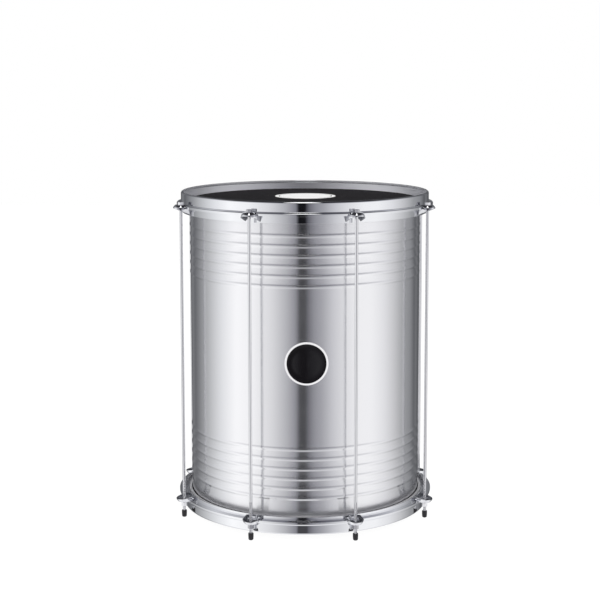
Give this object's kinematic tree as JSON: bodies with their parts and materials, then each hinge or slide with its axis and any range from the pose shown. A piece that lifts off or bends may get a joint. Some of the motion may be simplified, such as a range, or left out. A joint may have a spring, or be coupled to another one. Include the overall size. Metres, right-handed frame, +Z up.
{
  "type": "surdo",
  "caption": "Deep bass drum with a ribbed metal shell, a black head at each end, chromed hoops, long tension rods with tuning nuts, and rubber caps to stand on.",
  "frame": {"origin": "on the ground under the drum's axis, midway between the feet", "axes": "+Z up along the drum's axis to the upper head, -Y towards the front with the badge, +X to the right seen from the front"},
  "size_m": [0.497, 0.497, 0.6252],
  "materials": {
    "brushed_shell": "brushed round the drum",
    "badge_face": "smooth, black with a pale ring, nothing printed on it",
    "drum_skin": "matte artificial leather",
    "flesh_hoop": "plain drawn aluminium",
    "chromed_hoop": "bright chrome on pressed steel",
    "chromed_steel": "bright plated steel",
    "cap_rubber": "matte moulded rubber"
  },
  "bodies": {
    "drum": {"shell": "brushed_shell", "badge": "badge_face", "batter_head": "drum_skin", "resonant_head": "drum_skin", "batter_flesh_hoop": "flesh_hoop", "resonant_flesh_hoop": "flesh_hoop", "top_hoop": "chromed_hoop", "bottom_hoop": "chromed_hoop", "tension_rod_1": "chromed_steel", "rubber_cap_1": "cap_rubber", "tension_rod_2": "chromed_steel", "rubber_cap_2": "cap_rubber", "tension_rod_3": "chromed_steel", "rubber_cap_3": "cap_rubber", "tension_rod_4": "chromed_steel", "rubber_cap_4": "cap_rubber", "tension_rod_5": "chromed_steel", "rubber_cap_5": "cap_rubber", "tension_rod_6": "chromed_steel", "rubber_cap_6": "cap_rubber", "tension_rod_7": "chromed_steel", "rubber_cap_7": "cap_rubber", "tension_rod_8": "chromed_steel", "rubber_cap_8": "cap_rubber"},
    "washer_1": {"washer_1": "chromed_steel"},
    "nut_1": {"nut_1": "chromed_steel"},
    "washer_2": {"washer_2": "chromed_steel"},
    "nut_2": {"nut_2": "chromed_steel"},
    "washer_3": {"washer_3": "chromed_steel"},
    "nut_3": {"nut_3": "chromed_steel"},
    "washer_4": {"washer_4": "chromed_steel"},
    "nut_4": {"nut_4": "chromed_steel"},
    "washer_5": {"washer_5": "chromed_steel"},
    "nut_5": {"nut_5": "chromed_steel"},
    "washer_6": {"washer_6": "chromed_steel"},
    "nut_6": {"nut_6": "chromed_steel"},
    "washer_7": {"washer_7": "chromed_steel"},
    "nut_7": {"nut_7": "chromed_steel"},
    "washer_8": {"washer_8": "chromed_steel"},
    "nut_8": {"nut_8": "chromed_steel"}
  },
  "joints": [
    {"name": "washer_1_slide", "type": "slide", "parent": "drum", "child": "washer_1", "axis": [0, 0, -1], "range_m": [0, 0.008]},
    {"name": "nut_1_turn", "type": "hinge", "parent": "washer_1", "child": "nut_1", "pos_m": [0.09605, -0.23189, 0.026], "axis": [0, 0, -1], "range_deg": [0, 2880]},
    {"name": "washer_2_slide", "type": "slide", "parent": "drum", "child": "washer_2", "axis": [0, 0, -1], "range_m": [0, 0.008]},
    {"name": "nut_2_turn", "type": "hinge", "parent": "washer_2", "child": "nut_2", "pos_m": [0.23189, -0.09605, 0.026], "axis": [0, 0, -1], "range_deg": [0, 2880]},
    {"name": "washer_3_slide", "type": "slide", "parent": "drum", "child": "washer_3", "axis": [0, 0, -1], "range_m": [0, 0.008]},
    {"name": "nut_3_turn", "type": "hinge", "parent": "washer_3", "child": "nut_3", "pos_m": [0.23189, 0.09605, 0.026], "axis": [0, 0, -1], "range_deg": [0, 2880]},
    {"name": "washer_4_slide", "type": "slide", "parent": "drum", "child": "washer_4", "axis": [0, 0, -1], "range_m": [0, 0.008]},
    {"name": "nut_4_turn", "type": "hinge", "parent": "washer_4", "child": "nut_4", "pos_m": [0.09605, 0.23189, 0.026], "axis": [0, 0, -1], "range_deg": [0, 2880]},
    {"name": "washer_5_slide", "type": "slide", "parent": "drum", "child": "washer_5", "axis": [0, 0, -1], "range_m": [0, 0.008]},
    {"name": "nut_5_turn", "type": "hinge", "parent": "washer_5", "child": "nut_5", "pos_m": [-0.09605, 0.23189, 0.026], "axis": [0, 0, -1], "range_deg": [0, 2880]},
    {"name": "washer_6_slide", "type": "slide", "parent": "drum", "child": "washer_6", "axis": [0, 0, -1], "range_m": [0, 0.008]},
    {"name": "nut_6_turn", "type": "hinge", "parent": "washer_6", "child": "nut_6", "pos_m": [-0.23189, 0.09605, 0.026], "axis": [0, 0, -1], "range_deg": [0, 2880]},
    {"name": "washer_7_slide", "type": "slide", "parent": "drum", "child": "washer_7", "axis": [0, 0, -1], "range_m": [0, 0.008]},
    {"name": "nut_7_turn", "type": "hinge", "parent": "washer_7", "child": "nut_7", "pos_m": [-0.23189, -0.09605, 0.026], "axis": [0, 0, -1], "range_deg": [0, 2880]},
    {"name": "washer_8_slide", "type": "slide", "parent": "drum", "child": "washer_8", "axis": [0, 0, -1], "range_m": [0, 0.008]},
    {"name": "nut_8_turn", "type": "hinge", "parent": "washer_8", "child": "nut_8", "pos_m": [-0.09605, -0.23189, 0.026], "axis": [0, 0, -1], "range_deg": [0, 2880]}
  ],
  "couplings": [
    {"joint": "washer_1_slide", "follows": "nut_1_turn", "m_per_rad": 0.00015915},
    {"joint": "washer_2_slide", "follows": "nut_2_turn", "m_per_rad": 0.00015915},
    {"joint": "washer_3_slide", "follows": "nut_3_turn", "m_per_rad": 0.00015915},
    {"joint": "washer_4_slide", "follows": "nut_4_turn", "m_per_rad": 0.00015915},
    {"joint": "washer_5_slide", "follows": "nut_5_turn", "m_per_rad": 0.00015915},
    {"joint": "washer_6_slide", "follows": "nut_6_turn", "m_per_rad": 0.00015915},
    {"joint": "washer_7_slide", "follows": "nut_7_turn", "m_per_rad": 0.00015915},
    {"joint": "washer_8_slide", "follows": "nut_8_turn", "m_per_rad": 0.00015915}
  ]
}
